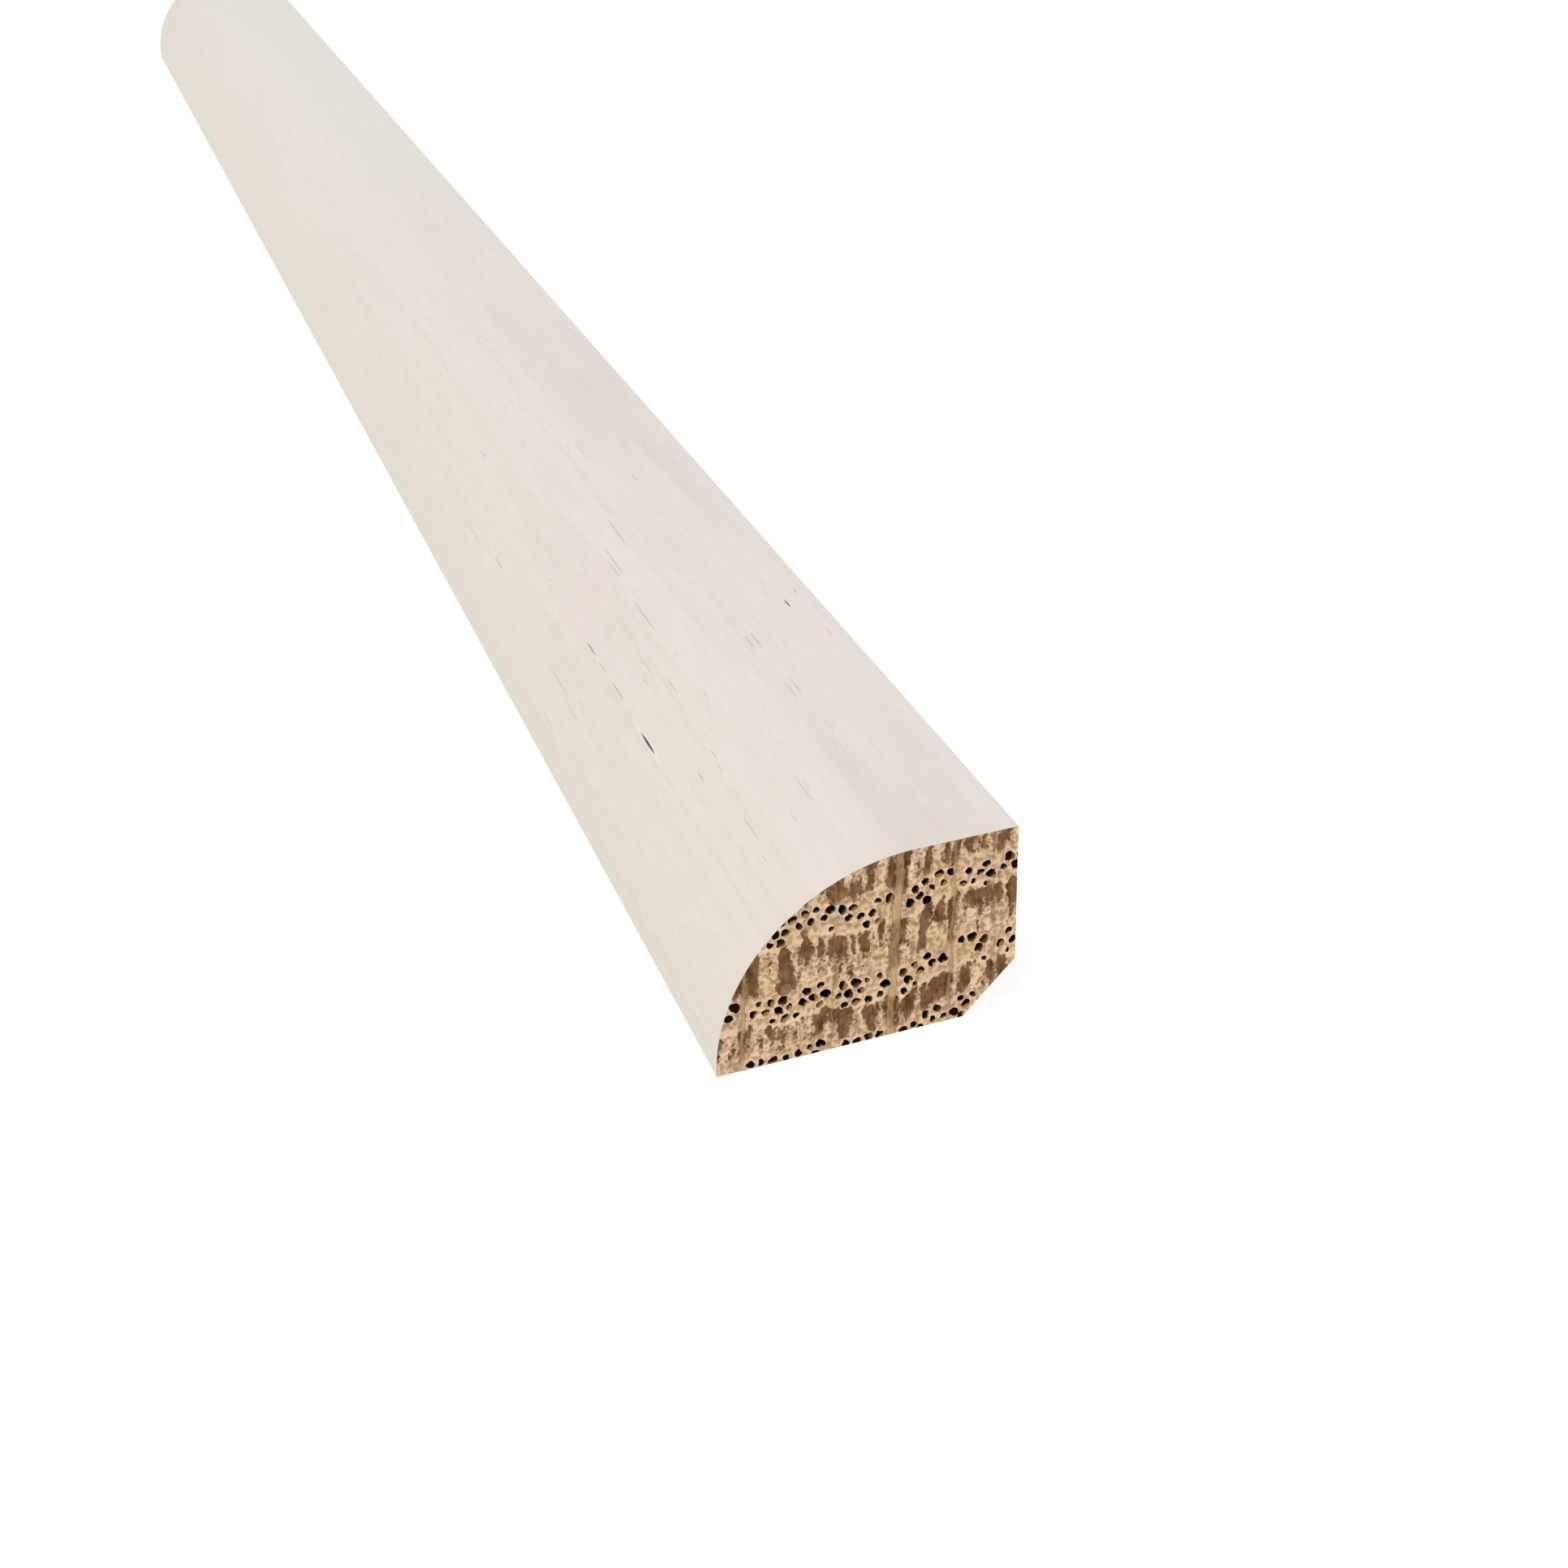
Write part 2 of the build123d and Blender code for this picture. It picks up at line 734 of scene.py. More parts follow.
class Finish:
    """A finish that a face of the stick wears."""

    name: str

    def material(self) -> Material:
        """Makes the finish's material.

        Returns:
            The new material, with its node tree written.
        """
        material = bpy.data.materials.new(self.name)
        material.use_nodes = True
        material.node_tree.nodes.clear()
        bench = Bench(material.node_tree)
        shader = bench.add("ShaderNodeBsdfPrincipled")
        bench.add("ShaderNodeOutputMaterial", None, {"Surface": shader.outputs[0]})
        where = bench.add("ShaderNodeTexCoord").outputs["Object"]
        scaled = bench.make("ShaderNodeVectorMath", {0: where, "Scale": 1 / MM}, {"operation": "SCALE"})
        self.dress(shader, *bench.split(scaled))
        return material

    def dress(self, shader: bpy.types.Node, x: Wire, y: Wire, z: Wire) -> None:
        """Writes the finish into a shader.

        Args:
            shader: The shader to feed.
            x: The point's x, in millimetres.
            y: The point's y, in millimetres.
            z: The point's z, in millimetres.
        """
        raise NotImplementedError

    @staticmethod
    def relief(height: Wire, depth: float) -> Socket:
        """A bump of the finest relief.

        Args:
            height: The relief, from 0 to 1.
            depth: How deep it is, in millimetres.

        Returns:
            The bumped normal.
        """
        inputs = {"Height": height, "Distance": depth * MM, "Strength": 1.0}
        return height.bench.make("ShaderNodeBump", inputs)


@dataclass(frozen=True)
class SawnEndFinish(Finish):
    """Bare end grain: lumpy pale tissue, dark flames of fibre and brown rays, with pores in pale rims.
    Painted shade fills the pores, the low places between the lumps and the rays' edges, and painted
    highlights lie on the lump tops and the lit wall of some pores.
    """

    wood: Wood
    name: str = "sawn_end_grain"
    # cream: the pale rims round the pores, and the painted highlight on the tops of the lumps
    cream: Colour = paint(252, 221, 183)
    pale: Colour = paint(238, 205, 169)
    tan: Colour = paint(217, 182, 143)
    band_ground: Colour = paint(204, 169, 130)
    # painted shade in the low places between the lumps
    gap: Colour = paint(159, 124, 90)
    fibre_pale: Colour = paint(150, 112, 79)
    fibre_dark: Colour = paint(84, 52, 30)
    ray_pale: Colour = paint(202, 168, 128)
    ray_dark: Colour = paint(134, 98, 64)
    # painted shade along the rays' edges, where the relief dips
    ray_edge_shade: Colour = paint(76, 47, 24)
    # painted shade: the near black that stands for the shade inside the open pores, also where no hole is cut
    painted_pore_shade: Colour = paint(31, 14, 6)
    # the filling of part-filled pores, also used as the painted highlight on the lit lower right wall of a
    # pore
    filling: Colour = paint(166, 128, 86)
    shade: Texture = Texture((1.3, 0.9), (9.0, 0.0, 7.0), 2.0, 0.6)
    patch: Texture = Texture((0.8, 0.45), (0.0, 30.0, 3.0), 2.0)
    mottle: Texture = Texture((5.0, 1.6), (0.0, 0.0, 17.0), 2.0, 0.6)
    roughness: float = 0.85
    bump: float = 0.17

    def dress(self, shader: bpy.types.Node, x: Wire, y: Wire, z: Wire) -> None:
        """Writes the end grain into a shader.

        Args:
            shader: The shader to feed.
            x: The point's x, in millimetres.
            y: The point's y, in millimetres.
            z: The point's z, in millimetres.
        """
        bench = x.bench
        grain = self.wood.end_grain(x, y, z)
        shade = self.shade.at(y, z).rise(0.34, 0.66) * 0.6
        patch = self.patch.at(y, z).rise(0.38, 0.62)
        mottle = self.mottle.at(y, z).rise(0.35, 0.65) * 0.35
        flame = bench.mix(self.fibre_dark, self.fibre_pale, shade + grain.fibre.rise(0.3, 0.7) * 0.4)
        ray = bench.mix(self.ray_dark, self.ray_pale, grain.band * 0.6 + grain.fibre * 0.25 + mottle)
        rim = grain.pore_edge.fall(1.1, 2.2) * (grain.fibre.rise(0.2, 0.7) * 0.4 + 0.4)
        # filled pores show their own filling, but only on the lit lower right side: partly real filling,
        # partly painted light
        lit_side_plug = grain.filled.rise(0.6, 0.85) * (grain.lit + (grain.fibre - 0.5) * 0.8).rise(0.05, 0.4)
        # painted highlight: a crescent on the lower right wall inside a pore, where the light is taken to
        # fall
        painted_crescent_highlight = grain.lit.rise(0.4, 0.9) * grain.pore_edge.rise(0.5, 0.9) * grain.filled
        # the pore's inside: painted shade, with the filling and a painted highlight on its lit side
        inside = bench.mix(self.painted_pore_shade, self.filling, lit_side_plug.at_least(painted_crescent_highlight * 0.65))
        colour = bench.layers(
            # painted shade between the lumps, under the tissue's own colour on them
            self.gap,
            (bench.mix(self.tan, self.pale, patch), grain.lump.rise(0.12, 0.75)),
            # painted highlight on the lump tops
            (self.cream, grain.lump.rise(0.7, 1.0) * 0.6),
            (flame, grain.flame.rise(0.0, 1.0)),
            (self.band_ground, grain.band * 0.35),
            (ray, grain.ray),
            # painted shade in the grooves along the rays' edges
            (self.ray_edge_shade, grain.ray_edge * (1 - grain.band) * 0.45),
            (self.cream, rim),
            (inside, grain.pore_edge.fall(0.92, 1.12)),
        )
        bench.feed(shader.inputs["Base Color"], colour)
        shader.inputs["Roughness"].default_value = self.roughness
        shader.inputs["Specular IOR Level"].default_value = 0.0
        height = grain.lump.at_least(grain.pore_edge.fall(1.1, 1.7)) + grain.ray * 0.5 - grain.ray_edge * 0.4
        bench.feed(shader.inputs["Normal"], self.relief(height, self.bump))


@dataclass(frozen=True)
class WhitewashFinish(Finish):
    """Thin white stain over the show face, with the wood's streaks, warm clouds and open slits in it."""

    section: Section
    slits: ShowSlits
    name: str = "whitewash_stain"
    toe_side: Colour = paint(230, 221, 208)
    wall_side: Colour = paint(234, 225, 220)
    rosy: Colour = paint(230, 217, 212)
    grey: Colour = paint(225, 216, 203)
    pale: Colour = paint(238, 232, 226)
    slit_brown: Colour = paint(158, 132, 112)
    slit_dark: Colour = paint(60, 50, 40)
    wander: Texture = Texture((0.06, 0.5), (0.0, 0.0, 15.0), 3.0, 0.6)
    clouds: Texture = Texture((0.022, 0.22), (3.0, 0.0, 2.0), 3.0, 0.6)
    streaks: Texture = Texture((0.15, 3.0), (0.0, 0.0, 8.0), 4.0, 0.7)
    mottle: Texture = Texture((0.18, 0.9), (0.0, 0.0, 33.0), 4.0, 0.7)
    veils: Texture = Texture((0.03, 0.9), (40.0, 0.0, 5.0), 4.0, 0.65)
    blots: Texture = Texture((0.35, 1.3), (0.0, 0.0, 21.0), 3.0, 0.65)
    brushed: Texture = Texture((0.5, 11.0), (0.0, 0.0, 4.0), 2.0, 0.6)
    blush_middle: tuple[float, float] = (48.0, 12.6)  # from the near end, and from the toe round the outline
    blush_reach: tuple[float, float] = (17.0, 2.1)
    stripe_middle: float = 11.0  # from the toe round the outline
    gloss: float = 0.3
    bump: float = 0.02

    def dress(self, shader: bpy.types.Node, x: Wire, y: Wire, z: Wire) -> None:
        """Writes the stain into a shader.

        Args:
            shader: The shader to feed.
            x: The point's x, in millimetres.
            y: The point's y, in millimetres.
            z: The point's z, in millimetres.
        """
        bench = x.bench
        girth = self.section.girth(y, z)
        streaks = self.streaks.at(x, girth)
        wander = self.wander.at(x, girth) - 0.5
        across = girth + wander * 7.0
        wallward = (across / self.section.show_girth).rise(0.2, 0.85)
        farther = (0 - x / self.section.length).rise(-0.45, 0.3)
        stripe = abs(across - self.stripe_middle).fall(1.0, 4.5)
        clouds = self.clouds.at(x, girth).rise(0.46, 0.66)
        veils = self.veils.at(x, girth).rise(0.42, 0.68)
        blots = self.blots.at(x, girth).rise(0.45, 0.75)
        dark, rim = self.open_slits(x, girth)
        colour = bench.layers(
            self.toe_side,
            (self.wall_side, wallward),
            (self.rosy, clouds * (wallward * 0.55 + 0.15)),
            (self.rosy, self.blush(x, girth, across + (streaks - 0.5) * 3.0, wander)),
            (self.grey, veils * (stripe * 0.4 + 0.45)),
            (self.pale, farther * (wallward * 0.6 + 0.3)),
            (self.pale, blots * 0.30),
            (self.pale, streaks.rise(0.48, 0.72) * 0.20),
            (self.grey, streaks.fall(0.30, 0.50) * 0.30),
            (self.pale, rim),
            (bench.mix(self.slit_brown, self.slit_dark, dark.rise(0.2, 0.6)), dark),
        )
        bench.feed(shader.inputs["Base Color"], colour)
        bench.feed(shader.inputs["Roughness"], streaks * 0.16 + 0.52)
        shader.inputs["Specular IOR Level"].default_value = self.gloss
        height = streaks * 0.6 + self.brushed.at(x, girth) * 0.4 - dark
        bench.feed(shader.inputs["Normal"], self.relief(height, self.bump))

    def blush(self, x: Wire, girth: Wire, across: Wire, wander: Wire) -> Wire:
        """The long warm patch in the middle of the show face.

        Args:
            x: The point's x, in millimetres.
            girth: Its distance from the toe along the outline.
            across: The same distance, made ragged.
            wander: How far the stain wanders there.

        Returns:
            How much of the patch there is.
        """
        (from_end, from_toe), (half_long, half_round) = self.blush_middle, self.blush_reach
        near = (self.section.length / 2 - x + wander * 24.0 - from_end) / half_long
        beside = (across - from_toe) / half_round
        mottle = self.mottle.at(x, girth).rise(0.36, 0.62)
        return (near * near * near * near + beside * beside).fall(0.3, 1.7) * (mottle * 0.6 + 0.25)

    def open_slits(self, x: Wire, girth: Wire) -> tuple[Wire, Wire]:
        """Where the slits are.

        Args:
            x: The point's x, in millimetres.
            girth: Its distance from the toe along the outline.

        Returns:
            How dark the slits make the point, and how much of a pale rim it has.
        """
        slits = self.slits
        from_far = x + self.section.length / 2
        row = (girth / slits.cell_round).floor()
        column = (from_far / slits.cell_along + row * slits.stagger).floor()
        along, round_, half_length, half_width, strength = slits.scattered(column, row)
        distance = x.bench.apart((from_far - along) / half_length, (girth - round_) / half_width)
        dark = distance.fall(0.5, 1.15) * strength * 0.22
        rim = distance.fall(1.2, 2.4) * strength * 0.4
        for slit in slits.marked:
            forward = (from_far - (self.section.length - slit.from_end)) / (slit.length / 2)
            distance = x.bench.apart(forward, (girth - slit.girth) / (slit.width / 2 + 0.01))
            dark = dark.at_least(distance.fall(0.5, 1.1) * min(0.9, slit.dark + 0.07))
            rim = rim.at_least(distance.fall(1.1, 2.4) * min(0.9, slit.dark * 0.8 + 0.2))
        return dark, rim


@dataclass(frozen=True)
class BareGrainFinish(Finish):
    """Bare planed wood along the grain, on the faces that go against the floor and the wall."""

    wood: Wood
    name: str = "bare_long_grain"
    late: Colour = paint(196, 163, 126)
    early: Colour = paint(174, 140, 104)
    pale: Colour = paint(212, 182, 146)
    slit_dark: Colour = paint(98, 70, 46)
    fibres: Texture = Texture((0.35, 9.0), (0.0, 0.0, 6.0), 2.0, 0.6)
    slits: Texture = Texture((0.42, 7.5), (0.0, 0.0, 12.0))
    gloss: float = 0.3
    bump: float = 0.05

    def dress(self, shader: bpy.types.Node, x: Wire, y: Wire, z: Wire) -> None:
        """Writes the bare wood into a shader.

        Args:
            shader: The shader to feed.
            x: The point's x, in millimetres.
            y: The point's y, in millimetres.
            z: The point's z, in millimetres.
        """
        bench = x.bench
        wander = (bench.noise(x * 0.012, y * 0.05, z * 0.05, 1.0) - 0.5) * 2.2
        above = z - self.wood.ring_line(y) + wander
        band = abs(y) * 0.0
        for middle in self.wood.bands:
            band = band.at_least(abs(above - middle).fall(0.55, 1.1))
        run = y + z
        streaks = bench.noise(x * 0.05, run * 2.6, z * 0.4 + 3.0, 3.0, 0.65)
        fibres = self.fibres.at(x, run)
        slits = self.slits.at(x, run).rise(0.6, 0.68) * (band * 0.75 + 0.12)
        colour = bench.layers(
            self.late,
            (self.early, band),
            (self.pale, streaks.rise(0.45, 0.75) * 0.7),
            (self.slit_dark, slits * 0.8),
        )
        bench.feed(shader.inputs["Base Color"], colour)
        bench.feed(shader.inputs["Roughness"], fibres * 0.15 + 0.6)
        shader.inputs["Specular IOR Level"].default_value = self.gloss
        bench.feed(shader.inputs["Normal"], self.relief(fibres * 0.5 - slits, self.bump))


@dataclass(frozen=True)
class Sheet:
    """How the faces lie on the square map. The sizes are in its points, the scales per millimetre."""

    size: float = 1024.0
    edge: float = 8.0
    end_scale: float = 26.0
    show_start: float = 350.0
    show_scale: float = 12.0
    hidden_start: float = 680.0
    hidden_scale: float = 11.0


@dataclass
class MouldingStick:
    """The stick: a swept section with sawn ends, open pores and slits, in its three finishes.

    Its last fields are the tree that it is made in, the tree's inputs and the three materials.
    """

    section: Section
    wood: Wood
    slits: ShowSlits
    sheet: Sheet = Sheet()
    round_facets: int = 96
    merge: float = 0.001
    spare: float = 0.5  # how far the sweep runs past each sawn end before it is trimmed
    saw_grid: float = 0.1  # between the points of the sawn ends' relief
    saw_depth: float = 0.11  # of that relief
    sharp_angle: float = 25.0  # degrees, from which an edge looks sharp
    pore_sides: int = 12
    pore_depth: float = 1.1
    plug_depth: float = 0.14
    pore_mouth: float = 1.225  # the cutter's half width just outside the wood, as a share of the pore's
    pore_tip: float = 0.55
    pore_clearance: float = 0.08  # from the outline
    slit_clearance: float = 3.0  # from the sawn ends
    ball_segments: int = 10
    ball_rings: int = 6
    bench: Bench = field(init=False)
    sizes: dict[str, Wire] = field(init=False)
    show: Material = field(init=False)
    bare: Material = field(init=False)
    sawn: Material = field(init=False)

    def inputs(self) -> dict[str, float]:
        """The named inputs of the stick's tree.

        Returns:
            The size that each input gets, in millimetres, by the input's name.
        """
        section = self.section
        sizes = (section.length, section.width, section.height, section.relief)
        return dict(zip(("Length", "Width", "Height", "Relief"), sizes))

    def build(self) -> bpy.types.Object:
        """Makes the stick.

        Returns:
            Its object, with a plain mesh in metres and its materials in place.
        """
        stain = WhitewashFinish(self.section, self.slits)
        finishes = (stain, BareGrainFinish(self.wood), SawnEndFinish(self.wood))
        self.show, self.bare, self.sawn = (finish.material() for finish in finishes)
        tree = bpy.data.node_groups.new("milled_stick", "GeometryNodeTree")
        tree.is_modifier = True
        tree.interface.new_socket("Geometry", in_out="OUTPUT", socket_type="NodeSocketGeometry")
        sockets = {
            name: tree.interface.new_socket(name, in_out="INPUT", socket_type="NodeSocketFloat")
            for name in self.inputs()
        }
        self.bench = Bench(tree)
        self.mill()

        stick_object = bpy.data.objects.new("moulding_stick", bpy.data.meshes.new("blank"))
        bpy.context.scene.collection.objects.link(stick_object)
        modifier = stick_object.modifiers.new("milling", "NODES")
        modifier.node_group = tree
        for name, size in self.inputs().items():
            modifier[sockets[name].identifier] = size
        evaluated = stick_object.evaluated_get(bpy.context.evaluated_depsgraph_get())
        mesh = bpy.data.meshes.new_from_object(evaluated)
        mesh.name = "moulding_stick"
        numbers = self.settle(mesh)
        mesh.shade_smooth()
        mesh.set_sharp_from_angle(angle=math.radians(self.sharp_angle))
        stick_object.modifiers.remove(modifier)
        stick_object.data = mesh
        self.unfold(mesh, numbers)
        return stick_object

    def mill(self) -> None:
        """Writes the stick's tree, from its named inputs to real geometry in metres."""
        bench = self.bench
        given = bench.add("NodeGroupInput")
        self.sizes = {name: Wire(bench, given.outputs[name]) for name in self.inputs()}
        tools = [self.saw_cut(end) for end in End] + [self.pores(end) for end in End]
        tools += [self.faint_slits(), self.marked_slits()]
        stick = self.sweep()
        for tool in tools:
            settings = {"operation": "DIFFERENCE", "solver": "MANIFOLD"}
            stick = bench.make("GeometryNodeMeshBoolean", {0: stick, 1: tool}, settings)
        stick = bench.make("GeometryNodeTriangulate", {0: stick})
        stick = bench.make("GeometryNodeTransform", {0: stick, "Scale": (MM, MM, MM)})
        bench.add("NodeGroupOutput", None, {0: bench.make("GeometryNodeRealizeInstances", {0: stick})})

    def settle(self, mesh: bpy.types.Mesh) -> dict[str, int]:
        """Takes out pairs of faces that the cuts leave on the same corners, and sorts the materials.

        Args:
            mesh: The stick's mesh, all triangles.

        Returns:
            The number of each material, by name.
        """
        worn = (self.show, self.bare, self.sawn)
        corners = listed(mesh.loops, "vertex_index", np.int32).reshape(-1, 3)
        points = listed(mesh.vertices, "co", np.float64, 3).reshape(-1, 3)
        kinds = listed(mesh.polygons, "material_index", np.int32)
        numbers = {material.name: number for number, material in enumerate(worn)}
        swapped = [numbers.get(material.name, 0) if material else 0 for material in mesh.materials]
        kinds = np.array(swapped)[kinds]
        _, group, count = np.unique(np.sort(corners, axis=1), axis=0, return_inverse=True, return_counts=True)
        single = count[group.ravel()] == 1
        used, corners = np.unique(corners[single], return_inverse=True)
        mesh.clear_geometry()
        mesh.from_pydata(points[used], [], corners.reshape(-1, 3))
        mesh.materials.clear()
        for material in worn:
            mesh.materials.append(material)
        mesh.polygons.foreach_set("material_index", kinds[single])
        return numbers

    def unfold(self, mesh: bpy.types.Mesh, numbers: dict[str, int]) -> None:
        """Lays the stick out flat on a square map, with the fine end grain much the largest.

        Args:
            mesh: The stick's mesh, in metres.
            numbers: The number of each of its materials, by name.
        """
        corners = listed(mesh.loops, "vertex_index", np.int32)
        x, y, z = listed(mesh.vertices, "co", np.float64, 3).reshape(-1, 3)[corners].T / MM
        kind = np.repeat(listed(mesh.polygons, "material_index", np.int32), 3)
        section = self.section
        sheet = self.sheet
        turn = np.minimum(np.arctan2(z, section.round_centre - y), math.pi / 2)
        show = turn * section.height + np.maximum(y - section.round_centre, 0.0)
        foot = section.width - section.relief
        slope = math.sqrt(2) * np.minimum(z, section.relief)
        hidden = np.minimum(y - section.toe, foot) + slope + np.maximum(z - section.relief, 0.0)
        along = sheet.edge + (x / section.length + 0.5) * (sheet.size - 2 * sheet.edge)
        second = sheet.edge * 2 + section.width * sheet.end_scale
        flat = {
            WhitewashFinish.name: (along, sheet.show_start + show * sheet.show_scale),
            BareGrainFinish.name: (along, sheet.hidden_start + hidden * sheet.hidden_scale),
            SawnEndFinish.name: (
                sheet.edge + (y - section.toe) * sheet.end_scale + np.where(x < 0, second - sheet.edge, 0.0),
                sheet.edge + z * sheet.end_scale,
            ),
        }
        spots = np.zeros((len(corners), 2))
        for name, (across, up) in flat.items():
            here = kind == numbers[name]
            spots[here] = np.stack((across, up), axis=1)[here] / sheet.size
        layer = mesh.uv_layers.new(name="OFBake")
        layer.uv.foreach_set("vector", spots.ravel().astype(np.float32))

    def sweep(self) -> Socket:
        """Draws the section and sweeps it along the stick.

        Returns:
            The swept solid, a little too long.
        """
        bench = self.bench
        index = bench.index()
        width, height, relief = (self.sizes[name] for name in ("Width", "Height", "Relief"))
        corners = ((width / 2, height), (width / 2, relief), (width / 2 - relief, 0.0))
        turn = index * (math.pi / 2 / self.round_facets)
        on_round = (self.round_facets + 0.5 - index).over(0.0)
        y = (height - width / 2 - turn.cos() * height) * on_round
        z = turn.sin() * height * on_round
        for number, (corner_y, corner_z) in enumerate(corners, self.round_facets + 1):
            here = bench.math("COMPARE", index, float(number), 0.25)
            y = y + here * corner_y
            z = z + here * corner_z
        x = self.sizes["Length"] / 2 + self.spare
        inputs = {"Vertices": self.round_facets + 1 + len(corners)}
        ring = bench.make("GeometryNodeMeshCircle", inputs, {"fill_type": "NGON"})
        face = bench.make("GeometryNodeSetPosition", {"Geometry": ring, "Position": bench.vector(x, y, z)})
        run = bench.vector(x * -2.0, 0.0, 0.0)
        inputs = {"Mesh": face, "Offset": run, "Offset Scale": 1.0, "Individual": False}
        walls = bench.make("GeometryNodeExtrudeMesh", inputs)
        lid = bench.make("GeometryNodeFlipFaces", {"Mesh": face})
        both = bench.make("GeometryNodeJoinGeometry", {0: [walls, lid]})
        solid = bench.make("GeometryNodeMergeByDistance", {0: both, "Distance": self.merge})
        solid = bench.wear(solid, self.show)
        _, out, up = bench.split(bench.make("GeometryNodeInputNormal"))
        behind = out.over(0.5) + (up + 0.5).fall(0.0, 0.1)
        return bench.make("GeometryNodeSetMaterial", {0: solid, "Selection": behind, "Material": self.bare})

    def saw_cut(self, end: End) -> Socket:
        """The block that a saw takes off one end, with the end grain's relief on its inner side.

        Args:
            end: The end that is cut.

        Returns:
            The block.
        """
        bench = self.bench
        thick = 2 * self.spare
        wide, tall = (size + 2 * self.spare for size in (self.section.width, self.section.height))
        size = {"Size": (thick, wide, tall), "Vertices X": 2}
        counts = {"Vertices Y": round(wide / self.saw_grid), "Vertices Z": round(tall / self.saw_grid)}
        block = bench.make("GeometryNodeMeshCube", size | counts)
        middle = (self.sizes["Length"] / 2 + thick / 2) * end.value
        inputs = {0: block, "Translation": bench.vector(middle, 0.0, self.section.height / 2)}
        block = bench.make("GeometryNodeTransform", inputs)
        x, y, z = bench.position()
        grain = self.wood.end_grain(x, y, z)
        high = grain.lump.at_least(grain.pore_edge.fall(1.1, 1.8)).at_least(grain.ray * 0.6)
        depth = (1 - high) * self.section.margin(y, z).rise(0.0, 0.3) * self.saw_depth
        inner = ((middle - x) * end.value).over(0.0)
        inputs = {0: block, "Selection": inner, "Offset": bench.vector(depth * -end.value, 0.0, 0.0)}
        return bench.wear(bench.make("GeometryNodeSetPosition", inputs), self.sawn)

    def pores(self, end: End) -> Socket:
        """The tapered holes of the wide pores in one end.

        Args:
            end: The end that they are in.

        Returns:
            The shapes to cut out.
        """
        bench, wood = self.bench, self.wood
        side = float(end.value)
        columns = math.ceil(self.section.width / wood.pitch_along) + 4
        cells = columns * wood.rows
        index = bench.index()
        band = (index / cells + 0.001).floor()
        within = index - band * cells
        row = (within / columns + 0.001).floor()
        column = within - row * columns - columns // 2
        pore = wood.pore(column, row, band, side)
        inputs = {
            "Vertices": self.pore_sides,
            "Radius Top": self.pore_mouth,
            "Radius Bottom": self.pore_tip,
            "Depth": 1.5,
        }
        cone = bench.make("GeometryNodeMeshCone", inputs)
        inputs = {0: cone, "Rotation": (0.0, math.pi / 2, 0.0), "Translation": (-1.0, 0.0, 0.0)}
        cone = bench.wear(bench.make("GeometryNodeTransform", inputs), self.sawn)
        depth = self.pore_depth - pore.filled.over(0.8) * (self.pore_depth - self.plug_depth)
        push_y, push_z = wood.warp(pore.y, pore.z, side)
        margin = self.section.margin(pore.y - push_y, pore.z - push_z)
        whole = margin.over(pore.half_tall * self.pore_mouth * 1.1 + self.pore_clearance)
        holes = bench.scatter(
            count=cells * len(wood.bands),
            place=bench.vector((self.section.length / 2) * end.value, pore.y, pore.z),
            here=pore.here * whole,
            shape=cone,
            turn=bench.vector(pore.tilt * end.value, 0.0, 0.0 if end is End.NEAR else math.pi),
            size=bench.vector(depth, pore.half_wide, pore.half_tall),
        )
        _, y, z = bench.position()
        push_y, push_z = wood.warp(y, z, side)
        inputs = {0: holes, "Offset": bench.vector(0.0, push_y * -1.0, push_z * -1.0)}
        return bench.make("GeometryNodeSetPosition", inputs)

    def boat(self) -> Socket:
        """A ball to stretch into the boat shape of a slit.

        Returns:
            The ball, with its poles along the stick.
        """
        counts = {"Segments": self.ball_segments, "Rings": self.ball_rings}
        ball = self.bench.make("GeometryNodeMeshUVSphere", counts)
        ball = self.bench.make("GeometryNodeTransform", {0: ball, "Rotation": (0.0, math.pi / 2, 0.0)})
        return self.bench.wear(ball, self.show)

    def faint_slits(self) -> Socket:
        """The scattered slits of the show face.

        Returns:
            The shapes to cut out.
        """
        bench, slits = self.bench, self.slits
        half = self.section.length / 2
        rows = math.floor(self.section.show_girth / slits.cell_round)
        columns = math.ceil(self.section.length / slits.cell_along + rows * slits.stagger)
        index = bench.index()
        column = (index / rows + 0.0001).floor()
        row = index - column * rows
        along, round_, half_length, half_width, strength = slits.scattered(column, row)
        y, z, turn = self.section.place(round_)
        x = along - half
        return bench.scatter(
            count=rows * columns,
            place=bench.vector(x, y, z),
            here=strength.over(0.0) * (half - self.slit_clearance - abs(x)).over(0.0),
            shape=self.boat(),
            turn=bench.vector(math.pi / 2 - turn, 0.0, 0.0),
            size=bench.vector(half_length, half_width, strength * slits.depth * 0.2 + 0.012),
        )

    def marked_slits(self) -> Socket:
        """The plainest slits of the show face, each in its own place.

        Returns:
            The shapes to cut out.
        """
        ball = self.boat()
        holes = []
        for slit in self.slits.marked:
            turn = min(slit.girth / self.section.height, math.pi / 2)
            flat = max(slit.girth - self.section.round_girth, 0.0)
            y = self.section.round_centre - math.cos(turn) * self.section.height + flat
            z = math.sin(turn) * self.section.height
            inputs = {
                0: ball,
                "Translation": (self.section.length / 2 - slit.from_end, y, z),
                "Rotation": (math.pi / 2 - turn, 0.0, 0.0),
                "Scale": (slit.length / 2, slit.width / 2, self.slits.depth * slit.dark + 0.02),
            }
            holes.append(self.bench.make("GeometryNodeTransform", inputs))
        return self.bench.make("GeometryNodeJoinGeometry", {0: holes})


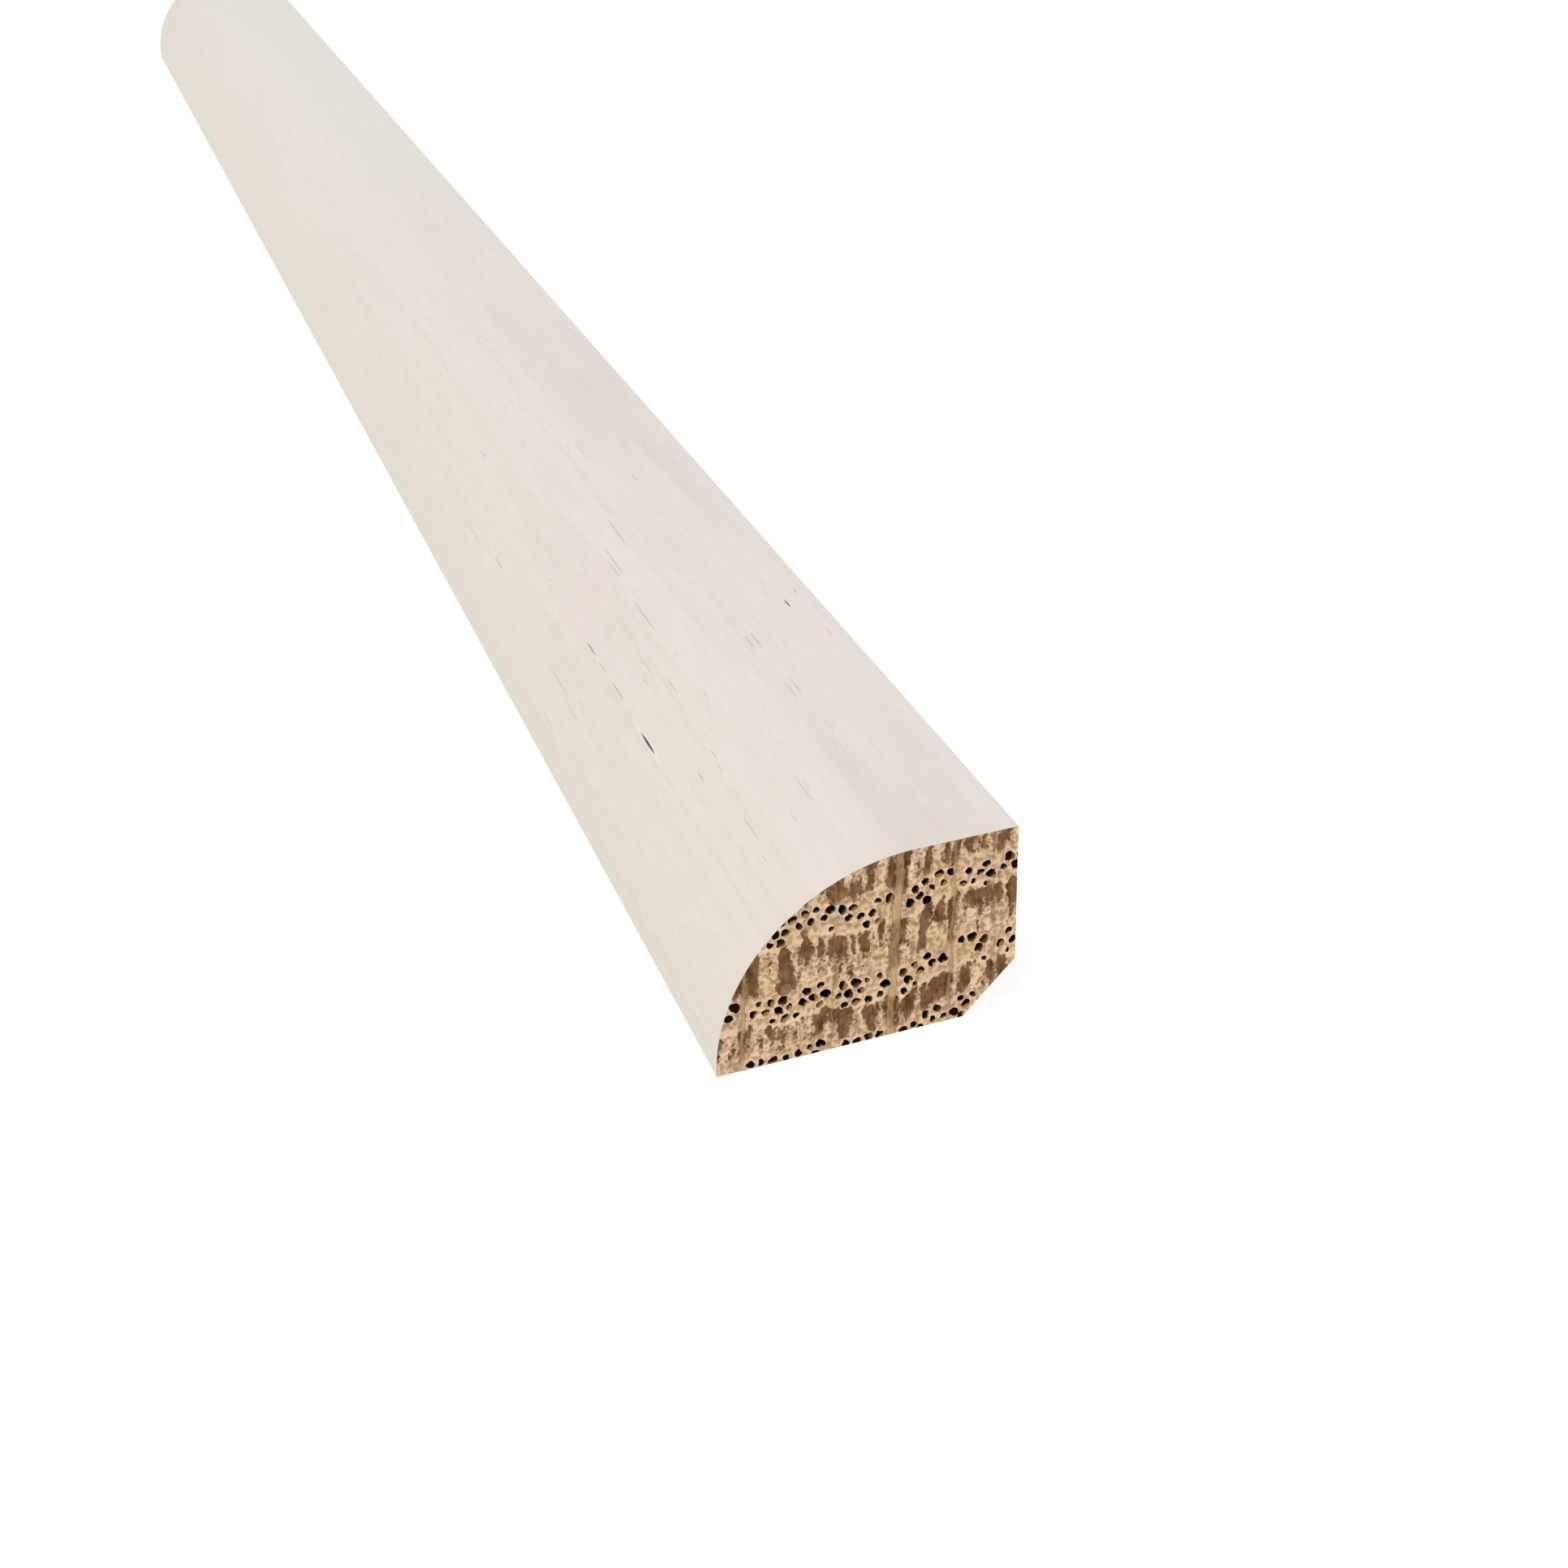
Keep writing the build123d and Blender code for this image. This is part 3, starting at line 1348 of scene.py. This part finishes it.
@dataclass(frozen=True)
class Studio:
    """The white floor, the soft light and the camera. Its sizes are in millimetres."""

    camera_place: Triple = (248.725, -37.727, 78.909)
    camera_aim: Triple = (132.433, 2.102, 6.35)
    camera_roll: float = -2.022  # degrees
    lens: float = 49.694
    sensor: float = 36.0
    floor_size: float = 60000.0
    sky: float = 0.58
    floor_grey: float = 0.18
    floor_white: float = 0.88
    key_power: float = 20.5
    key_place: Triple = (800.0, -620.0, 1960.0)
    key_size: float = 700.0

    def build(self) -> None:
        """Sets up the floor, the lights, the camera and plain colours."""
        self.floor()
        self.light()
        self.camera()
        settings = bpy.context.scene.view_settings
        settings.view_transform = "Standard"
        settings.look = "None"

    def floor(self) -> None:
        """Lays the white floor."""
        mesh = bpy.data.meshes.new("floor")
        half = self.floor_size / 2 * MM
        corners = [(-half, -half, 0), (half, -half, 0), (half, half, 0), (-half, half, 0)]
        mesh.from_pydata(corners, [], [(0, 1, 2, 3)])
        plane = bpy.data.objects.new("floor", mesh)
        bpy.context.scene.collection.objects.link(plane)
        material = bpy.data.materials.new("white_floor")
        material.use_nodes = True
        shader = material.node_tree.nodes["Principled BSDF"]
        shader.inputs["Base Color"].default_value = (*[self.floor_grey] * 3, 1.0)
        shader.inputs["Roughness"].default_value = 1.0
        shader.inputs["Specular IOR Level"].default_value = 0.0
        shader.inputs["Emission Color"].default_value = (1.0, 1.0, 1.0, 1.0)
        shader.inputs["Emission Strength"].default_value = self.floor_white
        mesh.materials.append(material)

    def light(self) -> None:
        """Hangs the soft key light and sets the even white surroundings."""
        world = bpy.data.worlds.new("studio")
        world.use_nodes = True
        background = world.node_tree.nodes["Background"]
        background.inputs["Color"].default_value = (1.0, 1.0, 1.0, 1.0)
        bench = Bench(world.node_tree)
        seen = Wire(bench, bench.make("ShaderNodeLightPath"))
        bench.feed(background.inputs["Strength"], seen * (1 - self.sky) + self.sky)
        bpy.context.scene.world = world
        lamp = bpy.data.lights.new("key", "AREA")
        lamp.energy = self.key_power
        lamp.shape = "DISK"
        lamp.size = self.key_size * MM
        key = bpy.data.objects.new("key", lamp)
        key.location = Vector(self.key_place) * MM
        key.rotation_euler = (-key.location).to_track_quat("-Z", "Y").to_euler()
        bpy.context.scene.collection.objects.link(key)

    def camera(self) -> None:
        """Sets up the camera at the photograph's angle."""
        lens = bpy.data.cameras.new("camera")
        lens.sensor_width = self.sensor
        lens.lens = self.lens
        lens.clip_start = MM
        lens.clip_end = 100.0
        camera = bpy.data.objects.new("camera", lens)
        place = Vector(self.camera_place) * MM
        aim = Vector(self.camera_aim) * MM
        turn = (aim - place).to_track_quat("-Z", "Y")
        roll = Quaternion((0.0, 0.0, 1.0), math.radians(self.camera_roll))
        camera.matrix_world = Matrix.Translation(place) @ (turn @ roll).to_matrix().to_4x4()
        bpy.context.scene.collection.objects.link(camera)
        bpy.context.scene.camera = camera


def report(piece: bpy.types.Object) -> None:
    """Logs a piece's name, its triangles and whether its mesh is closed.

    Args:
        piece: The finished piece.
    """
    mesh = piece.data
    mesh.calc_loop_triangles()
    uses = np.bincount(listed(mesh.loops, "edge_index", np.int32), minlength=len(mesh.edges))
    log.info("%s: %d triangles, %d open edges", piece.name, len(mesh.loop_triangles), int((uses != 2).sum()))


def main() -> None:
    """Builds the moulding and its studio."""
    logging.basicConfig(level=logging.INFO, format="%(name)s: %(message)s")
    low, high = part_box(NODE)
    length, width, height = ((high - low) / MM)[:]
    section = Section(length, width, height)
    stick = MouldingStick(section, Wood(height), ShowSlits()).build()
    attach(stick, BODY)
    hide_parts(NODE)
    report(stick)
    Studio().build()


if __name__ == "__main__":
    main()
